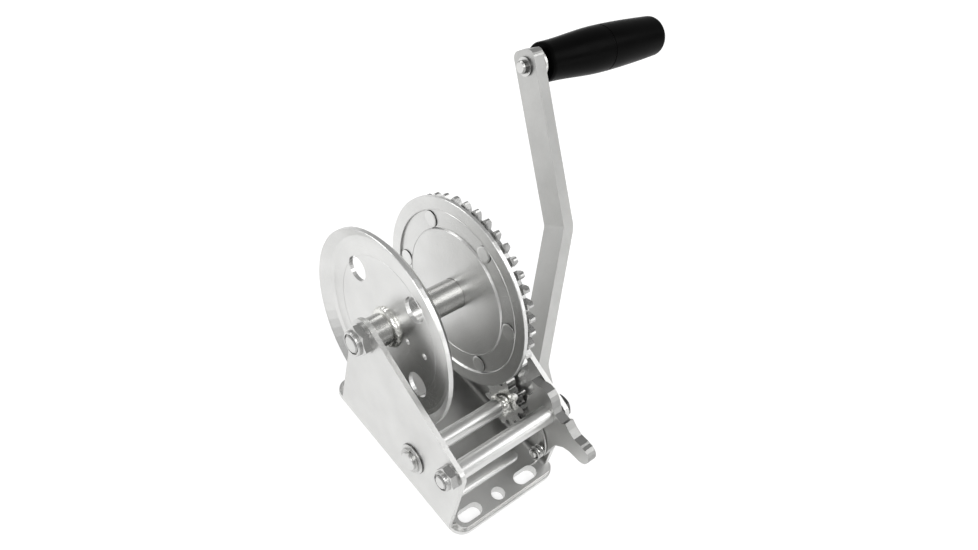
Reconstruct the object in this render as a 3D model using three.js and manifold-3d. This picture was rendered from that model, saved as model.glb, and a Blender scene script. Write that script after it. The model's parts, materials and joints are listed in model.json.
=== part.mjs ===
// Hand-cranked boat trailer winch with a spur-gear drive, a strap drum and a two-way pawl.
// Millimetres. +X runs along the shafts from the nut side to the crank side, +Y to the rear, +Z up.
// X = 0 is midway between the side plates, Y = 0 is the drum axle and Z = 0 is the base's underside.

import * as THREE from 'three';
import { mergeVertices } from 'three/addons/utils/BufferGeometryUtils.js';
import Module from 'manifold-3d';

const wasm = await Module();
wasm.setup();

// ---------------------------------------------------------------- driving dimensions

const ROUND = 48;            // sides of a large round piece
const ROUND_SMALL = 24;      // sides of a bolt, nut or bush
const CLEAR = 0.15;          // radial gap around a piece that is held in a hole
const RUN = 0.1;             // radial clearance of a running fit

// Frame: two L-shaped stampings whose base flanges lie one on the other.
const SHEET = 3.5;
const HALF_WIDTH = 46.2;                       // mid plane to the outer face of a side plate
const INNER_X = HALF_WIDTH - SHEET;
const BEND = 7.4;                              // outer bend radius
const AXLE_Z = 89.2;
const APEX_R = 13.0;                           // rounded top of a side plate, about the drum axle
const PLATE_FRONT_Y = -106.4;
const KNEE_Z = 65.4;                           // where the sloping front edge turns vertical
const KNEE_R = 6.0;
const BASE_FRONT_Y = -114.7;
const BASE_REAR_Y = 28.5;
const BASE_LEFT_X = -42.4;                     // ends of the lower layer
const BASE_RIGHT_X = 46.2;
const BASE_CORNER = 9.9;
const UPPER_SETBACK = 1.7;                     // upper base layer behind the lower one's edge
const UPPER_CORNER = 5.5;
const UPPER_RIGHT_X = 44.2;                    // its ears reach past the other stamping's bend
const RELIEF = 1.0;                            // slit between a base tab and the bend beside it

// Base openings: one row at the front edge and one at the rear edge.
const HOLE_INSET = 9.0;                        // from the lower layer's edge to the row
const HOLES_X = -1.9;                          // middle of each row
const SLOT_X = 24.9;
const SLOT_LENGTH = 18.8;
const SLOT_WIDTH = 9.9;
const ROUND_HOLE_R = 4.9;
const RIB = { y: -88.3, length: 61.0, width: 11.0, height: 2.8 };

// Gear pair.
const MODULE_MM = 3.175;
const GEAR_TEETH = 41;
const PINION_TEETH = 10;
const CENTRE_DISTANCE = 84.5;
const PRESSURE_ANGLE = 20;
const TIP_ROUND = 0.9;                         // height over which a tooth's tip narrows
const TIP_LAND = 0.5;                          // share of its width left at the very tip
const TOOTH_CHAMFER = { x: 1.1, r: 1.8 };      // rolled edge of the drum gear's teeth
const GEAR = { x0: 34.7, x1: 39.9, tipR: 68.26, rootR: 61.1, toothWidth: 4.7 };
const PINION = { x0: 33.4, x1: 40.7, tipR: 20.0, rootR: 13.9, toothWidth: 6.0 };

// Input shaft, placed forward of and below the drum axle.
const INPUT_DIRECTION = THREE.MathUtils.degToRad(221.2);
const INPUT_Y = CENTRE_DISTANCE * Math.cos(INPUT_DIRECTION);
const INPUT_Z = AXLE_Z + CENTRE_DISTANCE * Math.sin(INPUT_DIRECTION);
const INPUT_R = 6.2;
const INPUT_LEFT_X = -51.0;
const INPUT_RIGHT_X = 74.6;
const CRANK_STUD_R = 4.0;                      // threaded end that carries the crank nut
const BUSH = { barrelR: 8.5, flangeR: 10.8, flangeT: 1.8, inside: 1.2 };
const COLLAR = { x0: 27.0, x1: 33.2, r: 8.6 };

// Drum.
const HUB_R = 10.9;
const HUB_BORE_R = 8.5;
const HUB_END_X = 41.8;
const FLANGE_T = 2.8;
const FLANGE_R = 69.2;
const LEFT_WEB_X = -27.8;                      // outer (nut side) face of the left flange's web
const LEFT_RIM_X = -33.8;                      // outermost edge of its flared rim
const LEFT_WEB_R = 61.5;
const RIGHT_WEB_X = 28.3;                      // drum side face of the right flange
const RIGHT_STEP = 1.2;                        // recess of the riveted ring
const RIGHT_DISC_R = 46.3;
const RIGHT_RING_R = 59.8;
const WINDOW = { count: 4, radius: 9.0, circle: 41.9, angle: 29.5 };
const ANCHOR_HOLES = [{ circle: 21.3, angle: 163.7 }, { circle: 38.3, angle: 166.4 }];
const ANCHOR_HOLE_R = 2.2;
const RIVET = { count: 6, circle: 53.0, angle: 47, headR: 6.0, shoulderR: 5.6, shankR: 4.0, headT: 1.0 };
const WELD_WIDTH = 3.6;

// Fasteners: shank radius, across flats, head and lock-nut thickness, thread past the nut. A lock nut has
// a round flange against the plate, a hexagon and a round collar; hex is where the hexagon ends.
const AXLE_BOLT = {
  r: 6.2, flats: 19.0, head: 8.0, nut: 9.6, past: 0.6, flange: 1.3, flangeR: 10.5, hex: 6.6, collarR: 8.7,
};
const TIE_BOLT = {
  r: 4.75, flats: 14.3, head: 3.8, nut: 9.0, past: 0.6, flange: 1.0, flangeR: 7.9, hex: 6.2, collarR: 6.7,
};
const NUT_MOUTH = { gap: 1.0, depth: 1.2 };    // recess of the collar's end round the bolt

// Front tie, which carries the pawl.
const TIE_Y = -97.0;
const TIE_Z = 59.3;
const SPACER_R = 6.25;
const SPACER_BORE_R = 4.95;
const PAWL_X0 = 35.0;
const PAWL_X1 = 42.3;
const SADDLE_R = 18.8;                         // hollow beside the pinion, about the pivot

// Detent spring on a pin in the pawl's lower lobe, measured from the pivot.
const SPRING = { y: -6.4, z: -33.0, coilR: 3.9, wireR: 0.75, x0: 26.6, turns: 4, pitch: 1.75 };
const SPRING_PIN_R = 2.6;

// Crank: a flat bar whose lower stretch leans outwards, and a grip that turns on a rivet.
const CRANK_LEAN = THREE.MathUtils.degToRad(37.15);    // backwards from upright, at rest
const CRANK_FLAT_X = 62.0;                     // near face of the arm's flat end
const CRANK_FOLD = { x: 112.9, s: 100.6 };
const CRANK_TOP = { x: 119.8, s: 213.2 };
const CRANK_T = 9.0;
const CRANK_W = 20.6;
const CRANK_FIRST_FOLD_S = 16.0;
const CRANK_END = 10.8;                        // bar left past the grip's rivet
const CRANK_END_CORNER = 5.5;
const CRANK_NUT = { flats: 13.0, t: 3.0 };
const GRIP_TILT = Math.atan2(CRANK_TOP.x - CRANK_FOLD.x, CRANK_TOP.s - CRANK_FOLD.s);
const GRIP = { start: 13.6, length: 118.0, boreR: 5.2, rivetR: 5.0 };

// ---------------------------------------------------------------- materials

const finish = (color, roughness, metalness) => () =>
  new THREE.MeshStandardMaterial({ color, roughness, metalness });
const zincSheet = finish(0xc8cac6, 0.42, 0.9);
const zincDrum = finish(0xc2c4c0, 0.36, 0.92);
const zincFastener = finish(0xbfc1bb, 0.38, 0.92);
const zincBar = finish(0xbdbfbb, 0.4, 0.9);
const weldMetal = finish(0xb3b2aa, 0.5, 0.85);
const springSteel = finish(0x9fa09c, 0.35, 0.95);
const sinteredBronze = finish(0xa59f8d, 0.5, 0.85);
const blackPlastic = finish(0x161616, 0.45, 0.0);

// ---------------------------------------------------------------- solid modelling helpers

// A closed three.js geometry as a manifold solid, turned right side out if need be.
function solid(geometry) {
  const plain = geometry.clone();
  plain.deleteAttribute('normal');
  plain.deleteAttribute('uv');
  const merged = mergeVertices(plain, 1e-4);
  const vertProperties = new Float32Array(merged.attributes.position.array);
  let triVerts = new Uint32Array(merged.index.array);
  triVerts = dropFlatTriangles(triVerts);
  let result = new wasm.Manifold(new wasm.Mesh({ numProp: 3, vertProperties, triVerts }));
  if (result.volume() < 0) {
    for (let i = 0; i < triVerts.length; i += 3) {
      [triVerts[i + 1], triVerts[i + 2]] = [triVerts[i + 2], triVerts[i + 1]];
    }
    result = new wasm.Manifold(new wasm.Mesh({ numProp: 3, vertProperties, triVerts }));
  }
  return result;
}

function dropFlatTriangles(indices) {
  const kept = [];
  for (let i = 0; i < indices.length; i += 3) {
    const [a, b, c] = [indices[i], indices[i + 1], indices[i + 2]];
    if (a !== b && b !== c && c !== a) kept.push(a, b, c);
  }
  return new Uint32Array(kept);
}

function toGeometry(manifold) {
  const mesh = manifold.getMesh();
  const geometry = new THREE.BufferGeometry();
  geometry.setAttribute('position', new THREE.BufferAttribute(mesh.vertProperties, 3));
  geometry.setIndex(new THREE.BufferAttribute(mesh.triVerts, 1));
  geometry.computeVertexNormals();
  return geometry;
}

const join = (...parts) => parts.reduce((a, b) => a.add(b));
const cut = (part, ...tools) => tools.reduce((a, b) => a.subtract(b), part);

function extrude(shape, depth, basis) {
  const geometry = new THREE.ExtrudeGeometry(shape, { depth, bevelEnabled: false, steps: 1, curveSegments: 12 });
  return solid(geometry.applyMatrix4(basis));
}

// Prisms: an outline in one plane, pushed along the axis normal to it.
const alongX = (shape, x0, x1) => extrude(shape, x1 - x0, new THREE.Matrix4().makeBasis(
  new THREE.Vector3(0, 1, 0), new THREE.Vector3(0, 0, 1), new THREE.Vector3(1, 0, 0)).setPosition(x0, 0, 0));
const alongZ = (shape, z0, z1) => extrude(shape, z1 - z0, new THREE.Matrix4().makeTranslation(0, 0, z0));
const alongY = (shape, y0, y1) => extrude(shape, y1 - y0, new THREE.Matrix4().makeBasis(
  new THREE.Vector3(1, 0, 0), new THREE.Vector3(0, 0, 1), new THREE.Vector3(0, -1, 0)).setPosition(0, y1, 0));

function outline(points) {
  return new THREE.Shape(points.map(([a, b]) => new THREE.Vector2(a, b)));
}

// Points of an arc, both ends included, angles in degrees.
function arc(cx, cy, r, from, to, steps) {
  return Array.from({ length: steps + 1 }, (_, i) => {
    const angle = THREE.MathUtils.degToRad(from + (to - from) * i / steps);
    return [cx + r * Math.cos(angle), cy + r * Math.sin(angle)];
  });
}

const disc = (cx, cy, r, sides = ROUND_SMALL) => outline(arc(cx, cy, r, 0, 360 - 360 / sides, sides - 1));
const rodX = (y, z, r, x0, x1, sides = ROUND_SMALL) => alongX(disc(y, z, r, sides), x0, x1);
const tubeX = (y, z, r, boreR, x0, x1, sides = ROUND_SMALL) =>
  cut(rodX(y, z, r, x0, x1, sides), rodX(y, z, boreR, x0 - 1, x1 + 1, sides));

// A turned piece about the X axis through (y, z); profile points are [radius, x] and close on themselves.
function turnedX(profile, y, z, sides = ROUND) {
  const points = [...profile, profile[0]].map(([r, x]) => new THREE.Vector2(r, x));
  const geometry = new THREE.LatheGeometry(points, sides);
  const basis = new THREE.Matrix4().makeBasis(
    new THREE.Vector3(0, 0, 1), new THREE.Vector3(1, 0, 0), new THREE.Vector3(0, 1, 0));
  return solid(geometry.applyMatrix4(basis.setPosition(0, y, z)));
}

function hexX(y, z, flats, x0, x1, chamferedEnd) {
  const cornerR = flats / 2 / Math.cos(Math.PI / 6);
  const prism = alongX(outline(arc(y, z, cornerR, 0, 300, 5)), x0, x1);
  const chamfer = (cornerR - flats / 2) * 1.1;
  const low = chamferedEnd < 0 ? flats / 2 * 0.97 : cornerR + 1;
  const high = chamferedEnd > 0 ? flats / 2 * 0.97 : cornerR + 1;
  const lowX = chamferedEnd < 0 ? x0 + chamfer : x0;
  const highX = chamferedEnd > 0 ? x1 - chamfer : x1;
  const envelope = turnedX(
    [[0, x0], [low, x0], [cornerR + 1, lowX], [cornerR + 1, highX], [high, x1], [0, x1]]
      .filter(([r, x], i, all) => i === 0 || r !== all[i - 1][0] || x !== all[i - 1][1]),
    y, z, ROUND_SMALL);
  return prism.intersect(envelope);
}

// Outline of a strip of constant thickness that follows a bent line, folds rounded to bendR at its middle.
function bentStrip(points, thickness, bendR, steps = 6) {
  const path = [];
  const at = i => new THREE.Vector2(...points[i]);
  points.forEach((_, i) => {
    if (i === 0 || i === points.length - 1) {
      const direction = (i === 0 ? at(1).sub(at(0)) : at(i).sub(at(i - 1))).normalize();
      path.push({ p: at(i), d: direction });
      return;
    }
    const before = at(i).sub(at(i - 1)).normalize();
    const after = at(i + 1).sub(at(i)).normalize();
    const turn = Math.atan2(before.cross(after), before.dot(after));
    const reach = bendR * Math.tan(Math.abs(turn) / 2);
    const start = at(i).sub(before.clone().multiplyScalar(reach));
    const side = Math.sign(turn);
    const centre = start.clone().add(new THREE.Vector2(-before.y, before.x).multiplyScalar(bendR * side));
    for (let k = 0; k <= steps; k += 1) {
      const spun = start.clone().rotateAround(centre, turn * k / steps);
      path.push({ p: spun, d: before.clone().rotateAround(new THREE.Vector2(), turn * k / steps) });
    }
  });
  const side = sign => path.map(({ p, d }) => [p.x - sign * d.y * thickness / 2, p.y + sign * d.x * thickness / 2]);
  return [...side(1), ...side(-1).reverse()];
}

// ---------------------------------------------------------------- frame

// Side view of a plate: vertical rear edge, round top about the axle, long slope down to the knee.
function sidePlateOutline() {
  const kneeDistance = Math.hypot(PLATE_FRONT_Y, KNEE_Z - AXLE_Z);
  const kneeAngle = THREE.MathUtils.radToDeg(Math.atan2(KNEE_Z - AXLE_Z, PLATE_FRONT_Y));
  const tangentTurn = THREE.MathUtils.radToDeg(Math.acos(APEX_R / kneeDistance));
  const slopeStart = 360 + kneeAngle - tangentTurn;
  const slope = Math.atan2(
    AXLE_Z + APEX_R * Math.sin(THREE.MathUtils.degToRad(slopeStart)) - KNEE_Z,
    APEX_R * Math.cos(THREE.MathUtils.degToRad(slopeStart)) - PLATE_FRONT_Y);
  const reach = KNEE_R * Math.tan((Math.PI / 2 - slope) / 2);
  return outline([
    [APEX_R, 0],
    ...arc(0, AXLE_Z, APEX_R, 0, slopeStart, 14),
    ...arc(PLATE_FRONT_Y + KNEE_R, KNEE_Z - reach, KNEE_R, 90 + THREE.MathUtils.radToDeg(slope), 180, 5),
    [PLATE_FRONT_Y, 0],
  ]);
}

// Section of the nut-side stamping in X and Z: upright sheet, bend and flange. floorZ is the flange's underside.
function channelSection(floorZ, flangeEndX) {
  const bendX = -HALF_WIDTH + BEND;
  const bendZ = floorZ + BEND;
  return outline([
    [-HALF_WIDTH, AXLE_Z + APEX_R + 5],
    ...arc(bendX, bendZ, BEND, 180, 270, 8),
    [flangeEndX, floorZ],
    [flangeEndX, floorZ + SHEET],
    ...arc(bendX, bendZ, BEND - SHEET, 270, 180, 8),
    [-INNER_X, AXLE_Z + APEX_R + 5],
  ]);
}

// Plan of a base layer with four rounded corners.
function basePlan(x0, x1, y0, y1, cornerAtX0, cornerAtX1) {
  return outline([
    ...arc(x0 + cornerAtX0, y0 + cornerAtX0, cornerAtX0, 180, 270, 8),
    ...arc(x1 - cornerAtX1, y0 + cornerAtX1, cornerAtX1, 270, 360, 8),
    ...arc(x1 - cornerAtX1, y1 - cornerAtX1, cornerAtX1, 0, 90, 8),
    ...arc(x0 + cornerAtX0, y1 - cornerAtX0, cornerAtX0, 90, 180, 8),
  ]);
}

function slotOutline(x, y) {
  const half = (SLOT_LENGTH - SLOT_WIDTH) / 2;
  return outline([
    ...arc(x + half, y, SLOT_WIDTH / 2, -90, 90, 8),
    ...arc(x - half, y, SLOT_WIDTH / 2, 90, 270, 8),
  ]);
}

function baseOpenings() {
  const rows = [BASE_FRONT_Y + HOLE_INSET, BASE_REAR_Y - HOLE_INSET];
  return rows.flatMap(y => [
    alongZ(slotOutline(HOLES_X - SLOT_X, y), -1, 2 * SHEET + 1),
    alongZ(slotOutline(HOLES_X + SLOT_X, y), -1, 2 * SHEET + 1),
    alongZ(disc(HOLES_X, y, ROUND_HOLE_R), -1, 2 * SHEET + 1),
  ]);
}

function plateHoles(x0, x1) {
  return [
    rodX(0, AXLE_Z, AXLE_BOLT.r + CLEAR, x0, x1),
    rodX(INPUT_Y, INPUT_Z, BUSH.barrelR + CLEAR, x0, x1),
    rodX(TIE_Y, TIE_Z, TIE_BOLT.r + CLEAR, x0, x1),
  ];
}

// Stiffening rib pressed up in the upper base layer, shown as its raised crown.
function rib() {
  const half = (RIB.length - RIB.width) / 2;
  const crown = outline([
    [-RIB.width / 2, 0],
    ...arc(0, 0, RIB.width / 2, 180, 0, 10).slice(1, -1).map(([a, b]) => [a, b * RIB.height / (RIB.width / 2)]),
    [RIB.width / 2, 0],
  ]);
  const bar = extrude(crown, 2 * half, new THREE.Matrix4().makeBasis(
    new THREE.Vector3(0, 1, 0), new THREE.Vector3(0, 0, 1), new THREE.Vector3(1, 0, 0))
    .setPosition(-half, RIB.y, 2 * SHEET - 0.01));
  const dome = side => {
    const profile = Array.from({ length: 7 }, (_, i) => {
      const angle = Math.PI / 2 * i / 6;
      return new THREE.Vector2(RIB.width / 2 * Math.cos(angle), RIB.height * Math.sin(angle));
    });
    const geometry = new THREE.LatheGeometry([new THREE.Vector2(0, 0), ...profile.slice(0, -1),
      new THREE.Vector2(0, RIB.height)], 20);
    geometry.rotateX(Math.PI / 2);
    geometry.translate(side * half, RIB.y, 2 * SHEET - 0.01);
    return solid(geometry);
  };
  return join(bar, dome(-1), dome(1));
}

// Room for the crank-side upright and its bend, from startX outwards and up to topZ.
const besideRightPlate = (startX, topZ) => alongZ(outline([
  [startX, PLATE_FRONT_Y - RELIEF], [HALF_WIDTH + 1, PLATE_FRONT_Y - RELIEF],
  [HALF_WIDTH + 1, APEX_R + RELIEF], [startX, APEX_R + RELIEF],
]), -1, topZ);

// Nut-side stamping. Its flange is the upper base layer.
function leftSidePlate() {
  const bendX = -HALF_WIDTH + BEND;
  const section = alongY(channelSection(SHEET, UPPER_RIGHT_X), BASE_FRONT_Y, BASE_REAR_Y);
  const upright = section
    .intersect(alongX(sidePlateOutline(), -HALF_WIDTH - 1, bendX));
  const flange = section
    .intersect(alongZ(basePlan(bendX, UPPER_RIGHT_X, BASE_FRONT_Y + UPPER_SETBACK,
      BASE_REAR_Y - UPPER_SETBACK, UPPER_CORNER, UPPER_CORNER), SHEET - 1, 2 * SHEET + 1));
  const clearOfBend = besideRightPlate(INNER_X - BEND + SHEET - 0.6, 2 * SHEET + 1);
  const stamped = join(upright, cut(flange, clearOfBend), rib());
  return cut(stamped, ...baseOpenings(), ...plateHoles(-HALF_WIDTH - 5, -INNER_X + 2));
}

// Crank-side stamping. Its flange runs under the other one, and its tabs reach past the bend at both ends.
function rightSidePlate() {
  const bendX = HALF_WIDTH - BEND;
  const mirrored = channelSection(0, 0);
  const section = alongY(mirrored, BASE_FRONT_Y, BASE_REAR_Y).mirror([1, 0, 0]);
  const upright = section.intersect(alongX(sidePlateOutline(), bendX, HALF_WIDTH + 1));
  const layer = alongZ(
    basePlan(BASE_LEFT_X, BASE_RIGHT_X, BASE_FRONT_Y, BASE_REAR_Y, BASE_CORNER, BASE_CORNER), 0, SHEET);
  const flange = cut(layer, besideRightPlate(bendX, SHEET + 1));
  return cut(join(upright, flange), ...baseOpenings(), ...plateHoles(INNER_X - 2, HALF_WIDTH + 5));
}

function bush(side) {
  const profile = [
    [INPUT_R + RUN, INNER_X - BUSH.inside],
    [BUSH.barrelR, INNER_X - BUSH.inside],
    [BUSH.barrelR, HALF_WIDTH + 0.02],
    [BUSH.flangeR, HALF_WIDTH + 0.02],
    [BUSH.flangeR, HALF_WIDTH + BUSH.flangeT - 0.4],
    [BUSH.flangeR - 0.4, HALF_WIDTH + BUSH.flangeT],
    [INPUT_R + RUN, HALF_WIDTH + BUSH.flangeT],
  ];
  return turnedX(profile.map(([r, x]) => [r, x * side]), INPUT_Y, INPUT_Z, 36);
}

// Through-bolt along X: head outside the crank-side plate, thread end past the nut.
function throughBolt(bolt, y, z) {
  const end = -HALF_WIDTH - bolt.nut - bolt.past;
  const shank = turnedX([
    [0, end], [bolt.r - 0.8, end], [bolt.r, end + 0.8], [bolt.r, HALF_WIDTH + 0.5], [0, HALF_WIDTH + 0.5],
  ], y, z, ROUND_SMALL);
  return join(shank, hexX(y, z, bolt.flats, HALF_WIDTH + 0.02, HALF_WIDTH + bolt.head, 1));
}

function throughNut(bolt, y, z) {
  const hexEnd = -HALF_WIDTH - bolt.hex;
  const end = -HALF_WIDTH - bolt.nut;
  const mouthR = bolt.r + NUT_MOUTH.gap;
  const flange = rodX(y, z, bolt.flangeR, -HALF_WIDTH - bolt.flange, -HALF_WIDTH - 0.02, ROUND);
  const collar = turnedX([
    [0, hexEnd + 1], [bolt.collarR, hexEnd + 1], [bolt.collarR, end + 0.9], [bolt.collarR - 0.7, end],
    [mouthR, end], [mouthR, end + NUT_MOUTH.depth], [0, end + NUT_MOUTH.depth],
  ], y, z, 36);
  const nut = join(flange, hexX(y, z, bolt.flats, hexEnd, -HALF_WIDTH - 0.5, -1), collar);
  return cut(nut, rodX(y, z, bolt.r + 0.05, end - 1, -HALF_WIDTH + 1));
}

// ---------------------------------------------------------------- gears

const involute = angle => Math.tan(angle) - angle;

// Half-angle that an involute tooth spans at radius r, for a given width at the pitch circle.
function halfToothAngle(teeth, width, r) {
  const pitchR = teeth * MODULE_MM / 2;
  const pressure = THREE.MathUtils.degToRad(PRESSURE_ANGLE);
  const baseR = pitchR * Math.cos(pressure);
  const atR = Math.acos(Math.min(1, baseR / Math.max(r, baseR)));
  return width / (2 * pitchR) + involute(pressure) - involute(atR);
}

// Closed outline of a spur gear about (0, 0); the first tooth points along firstTooth.
function gearOutline(teeth, { tipR, rootR, toothWidth }, firstTooth) {
  const baseR = teeth * MODULE_MM / 2 * Math.cos(THREE.MathUtils.degToRad(PRESSURE_ANGLE));
  const flankStart = Math.max(rootR, baseR);
  const radii = [rootR, ...[0, 0.5, 1].map(k => flankStart + (tipR - TIP_ROUND - flankStart) * k)];
  const flank = radii.filter((r, i) => i === 0 || r - radii[i - 1] > 0.05).map(r => ({ r, land: 1 }));
  flank.push({ r: tipR, land: TIP_LAND });
  const points = [];
  for (let tooth = 0; tooth < teeth; tooth += 1) {
    const middle = firstTooth + 2 * Math.PI * tooth / teeth;
    const edge = ({ r, land }, side) => {
      const angle = middle + side * land * halfToothAngle(teeth, toothWidth, r);
      points.push([r * Math.cos(angle), r * Math.sin(angle)]);
    };
    flank.forEach(place => edge(place, -1));
    [...flank].reverse().forEach(place => edge(place, 1));
  }
  return points;
}

// Drum gear: a gap between two teeth faces the pinion, and both faces are chamfered at the tips.
function drumGear() {
  const firstTooth = INPUT_DIRECTION + Math.PI / GEAR_TEETH;
  const blank = alongX(outline(gearOutline(GEAR_TEETH, GEAR, firstTooth)
    .map(([y, z]) => [y, z + AXLE_Z])), GEAR.x0, GEAR.x1);
  const rim = GEAR.tipR + 0.1;
  const envelope = turnedX([
    [0, GEAR.x0], [rim - TOOTH_CHAMFER.r, GEAR.x0], [rim, GEAR.x0 + TOOTH_CHAMFER.x],
    [rim, GEAR.x1 - TOOTH_CHAMFER.x], [rim - TOOTH_CHAMFER.r, GEAR.x1], [0, GEAR.x1],
  ], 0, AXLE_Z, 2 * GEAR_TEETH);
  return cut(blank.intersect(envelope),
    rodX(0, AXLE_Z, HUB_R + CLEAR, GEAR.x0 - 1, GEAR.x1 + 1, ROUND),
    ...rivetPlaces().map(([y, z]) => rodX(y, z, RIVET.shankR + CLEAR, GEAR.x0 - 1, GEAR.x1 + 1)));
}

// Pinion: a tooth faces the drum gear.
function pinion() {
  const firstTooth = INPUT_DIRECTION + Math.PI;
  const blank = alongX(outline(gearOutline(PINION_TEETH, PINION, firstTooth)
    .map(([y, z]) => [y + INPUT_Y, z + INPUT_Z])), PINION.x0, PINION.x1);
  return cut(blank, rodX(INPUT_Y, INPUT_Z, INPUT_R + CLEAR, PINION.x0 - 1, PINION.x1 + 1));
}

// ---------------------------------------------------------------- drum

function onCircle(circle, degrees) {
  const angle = THREE.MathUtils.degToRad(degrees);
  return [circle * Math.cos(angle), AXLE_Z + circle * Math.sin(angle)];
}

const rivetPlaces = () => Array.from({ length: RIVET.count }, (_, i) =>
  onCircle(RIVET.circle, RIVET.angle + i * 360 / RIVET.count));

// Left flange: flat web and a rim that flares away from the drum.
function leftFlange() {
  const inner = HUB_R + CLEAR;
  const profile = [
    [inner, LEFT_WEB_X],
    [LEFT_WEB_R - 2, LEFT_WEB_X],
    [LEFT_WEB_R + 1.2, LEFT_WEB_X - 0.9],
    [FLANGE_R - 1.2, LEFT_RIM_X + 0.8],
    [FLANGE_R - 0.3, LEFT_RIM_X],
    [FLANGE_R, LEFT_RIM_X + 0.4],
    [FLANGE_R, LEFT_RIM_X + 3.2],
    [FLANGE_R - 0.7, LEFT_RIM_X + 3.9],
    [LEFT_WEB_R + 2.0, LEFT_WEB_X + FLANGE_T - 0.8],
    [LEFT_WEB_R - 1, LEFT_WEB_X + FLANGE_T],
    [inner, LEFT_WEB_X + FLANGE_T],
  ];
  const windows = Array.from({ length: WINDOW.count }, (_, i) =>
    onCircle(WINDOW.circle, WINDOW.angle + i * 360 / WINDOW.count));
  return cut(turnedX(profile, 0, AXLE_Z, 64),
    ...windows.map(([y, z]) => rodX(y, z, WINDOW.radius, LEFT_WEB_X - 9, LEFT_WEB_X + 9)),
    ...ANCHOR_HOLES.map(hole => onCircle(hole.circle, hole.angle))
      .map(([y, z]) => rodX(y, z, ANCHOR_HOLE_R, LEFT_WEB_X - 9, LEFT_WEB_X + 9, 12)));
}

// Right flange: raised middle, recessed ring that is riveted to the gear, and a flat rim.
function rightFlange() {
  const inner = HUB_R + CLEAR;
  const near = RIGHT_WEB_X;
  const deep = RIGHT_WEB_X + RIGHT_STEP;
  const profile = [
    [inner, near],
    [RIGHT_DISC_R, near],
    [RIGHT_DISC_R + 0.6, deep],
    [RIGHT_RING_R - 0.6, deep],
    [RIGHT_RING_R, near],
    [FLANGE_R - 0.4, near],
    [FLANGE_R, near + 0.4],
    [FLANGE_R, near + FLANGE_T - 0.3],
    [FLANGE_R - 0.3, near + FLANGE_T],
    [RIGHT_RING_R + 1.0, near + FLANGE_T],
    [RIGHT_RING_R - 0.4, deep + FLANGE_T],
    [RIGHT_DISC_R + 0.4, deep + FLANGE_T],
    [RIGHT_DISC_R - 1.0, near + FLANGE_T],
    [inner, near + FLANGE_T],
  ];
  return cut(turnedX(profile, 0, AXLE_Z, 64),
    ...rivetPlaces().map(([y, z]) => rodX(y, z, RIVET.shankR + CLEAR, near - 3, near + 9)));
}

// Rivet from the drum side of the right flange to the far side of the gear, with a spacing shoulder between.
function gearRivet([y, z]) {
  const seat = RIGHT_WEB_X + RIGHT_STEP;
  const back = seat + FLANGE_T;
  return turnedX([
    [0, seat - RIVET.headT], [RIVET.headR - 0.4, seat - RIVET.headT], [RIVET.headR, seat - RIVET.headT + 0.3],
    [RIVET.headR, seat - 0.02], [RIVET.shankR, seat - 0.02], [RIVET.shankR, back + 0.02],
    [RIVET.shoulderR, back + 0.02], [RIVET.shoulderR, GEAR.x0 - 0.02], [RIVET.shankR, GEAR.x0 - 0.02],
    [RIVET.shankR, GEAR.x1 - 0.3], [0, GEAR.x1 - 0.3],
  ], y, z, ROUND_SMALL);
}

// Fillet weld around the hub tube: faceX is the sheet's face, side the way the bead stands up from it.
function hubWeld(faceX, side) {
  const inner = HUB_R + 0.05;
  return turnedX([
    [inner, faceX + side * 0.02],
    [inner + WELD_WIDTH, faceX + side * 0.02],
    [inner + WELD_WIDTH * 0.72, faceX + side * WELD_WIDTH * 0.5],
    [inner + WELD_WIDTH * 0.3, faceX + side * WELD_WIDTH * 0.86],
    [inner, faceX + side * WELD_WIDTH],
  ], 0, AXLE_Z, ROUND);
}

// ---------------------------------------------------------------- pawl

// Side view of the two-way pawl about its pivot, from the upper dog's tip round to the saddle beside the pinion.
function pawlOutline() {
  const upperDog = [[20.2, 13.9], [14.9, 14.7], [9.9, 16.9], [5.4, 16.7], [2.0, 15.0], [-0.6, 12.4]];
  const notch = [[-3.2, 8.6], [-5.8, 6.0], [-12.9, 5.2], [-15.2, 7.6]];
  const leverTop = [[-19.5, 4.8], [-25.3, 2.4], [-31.5, 2.8]];
  const thumbTab = arc(-34.2, -4.1, 6.6, 80, 262, 8);
  const leverBottom = [[-25.4, -11.1], [-20.3, -13.0], [-14.4, -18.3], [-11.7, -27.5]];
  const lowerDog = arc(-6.6, -35.4, 3.8, 190, 340, 6);
  const saddle = arc(0, 0, SADDLE_R, -78, -2, 9);
  const throat = [[17.2, 1.6], [15.6, 6.4], [16.7, 9.6]];
  return outline([...upperDog, ...notch, ...leverTop, ...thumbTab, ...leverBottom, ...lowerDog, ...saddle, ...throat]
    .map(([y, z]) => [y + TIE_Y, z + TIE_Z]));
}

function pawl() {
  return cut(alongX(pawlOutline(), PAWL_X0, PAWL_X1), rodX(TIE_Y, TIE_Z, SPACER_R + RUN, PAWL_X0 - 1, PAWL_X1 + 1));
}

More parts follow.
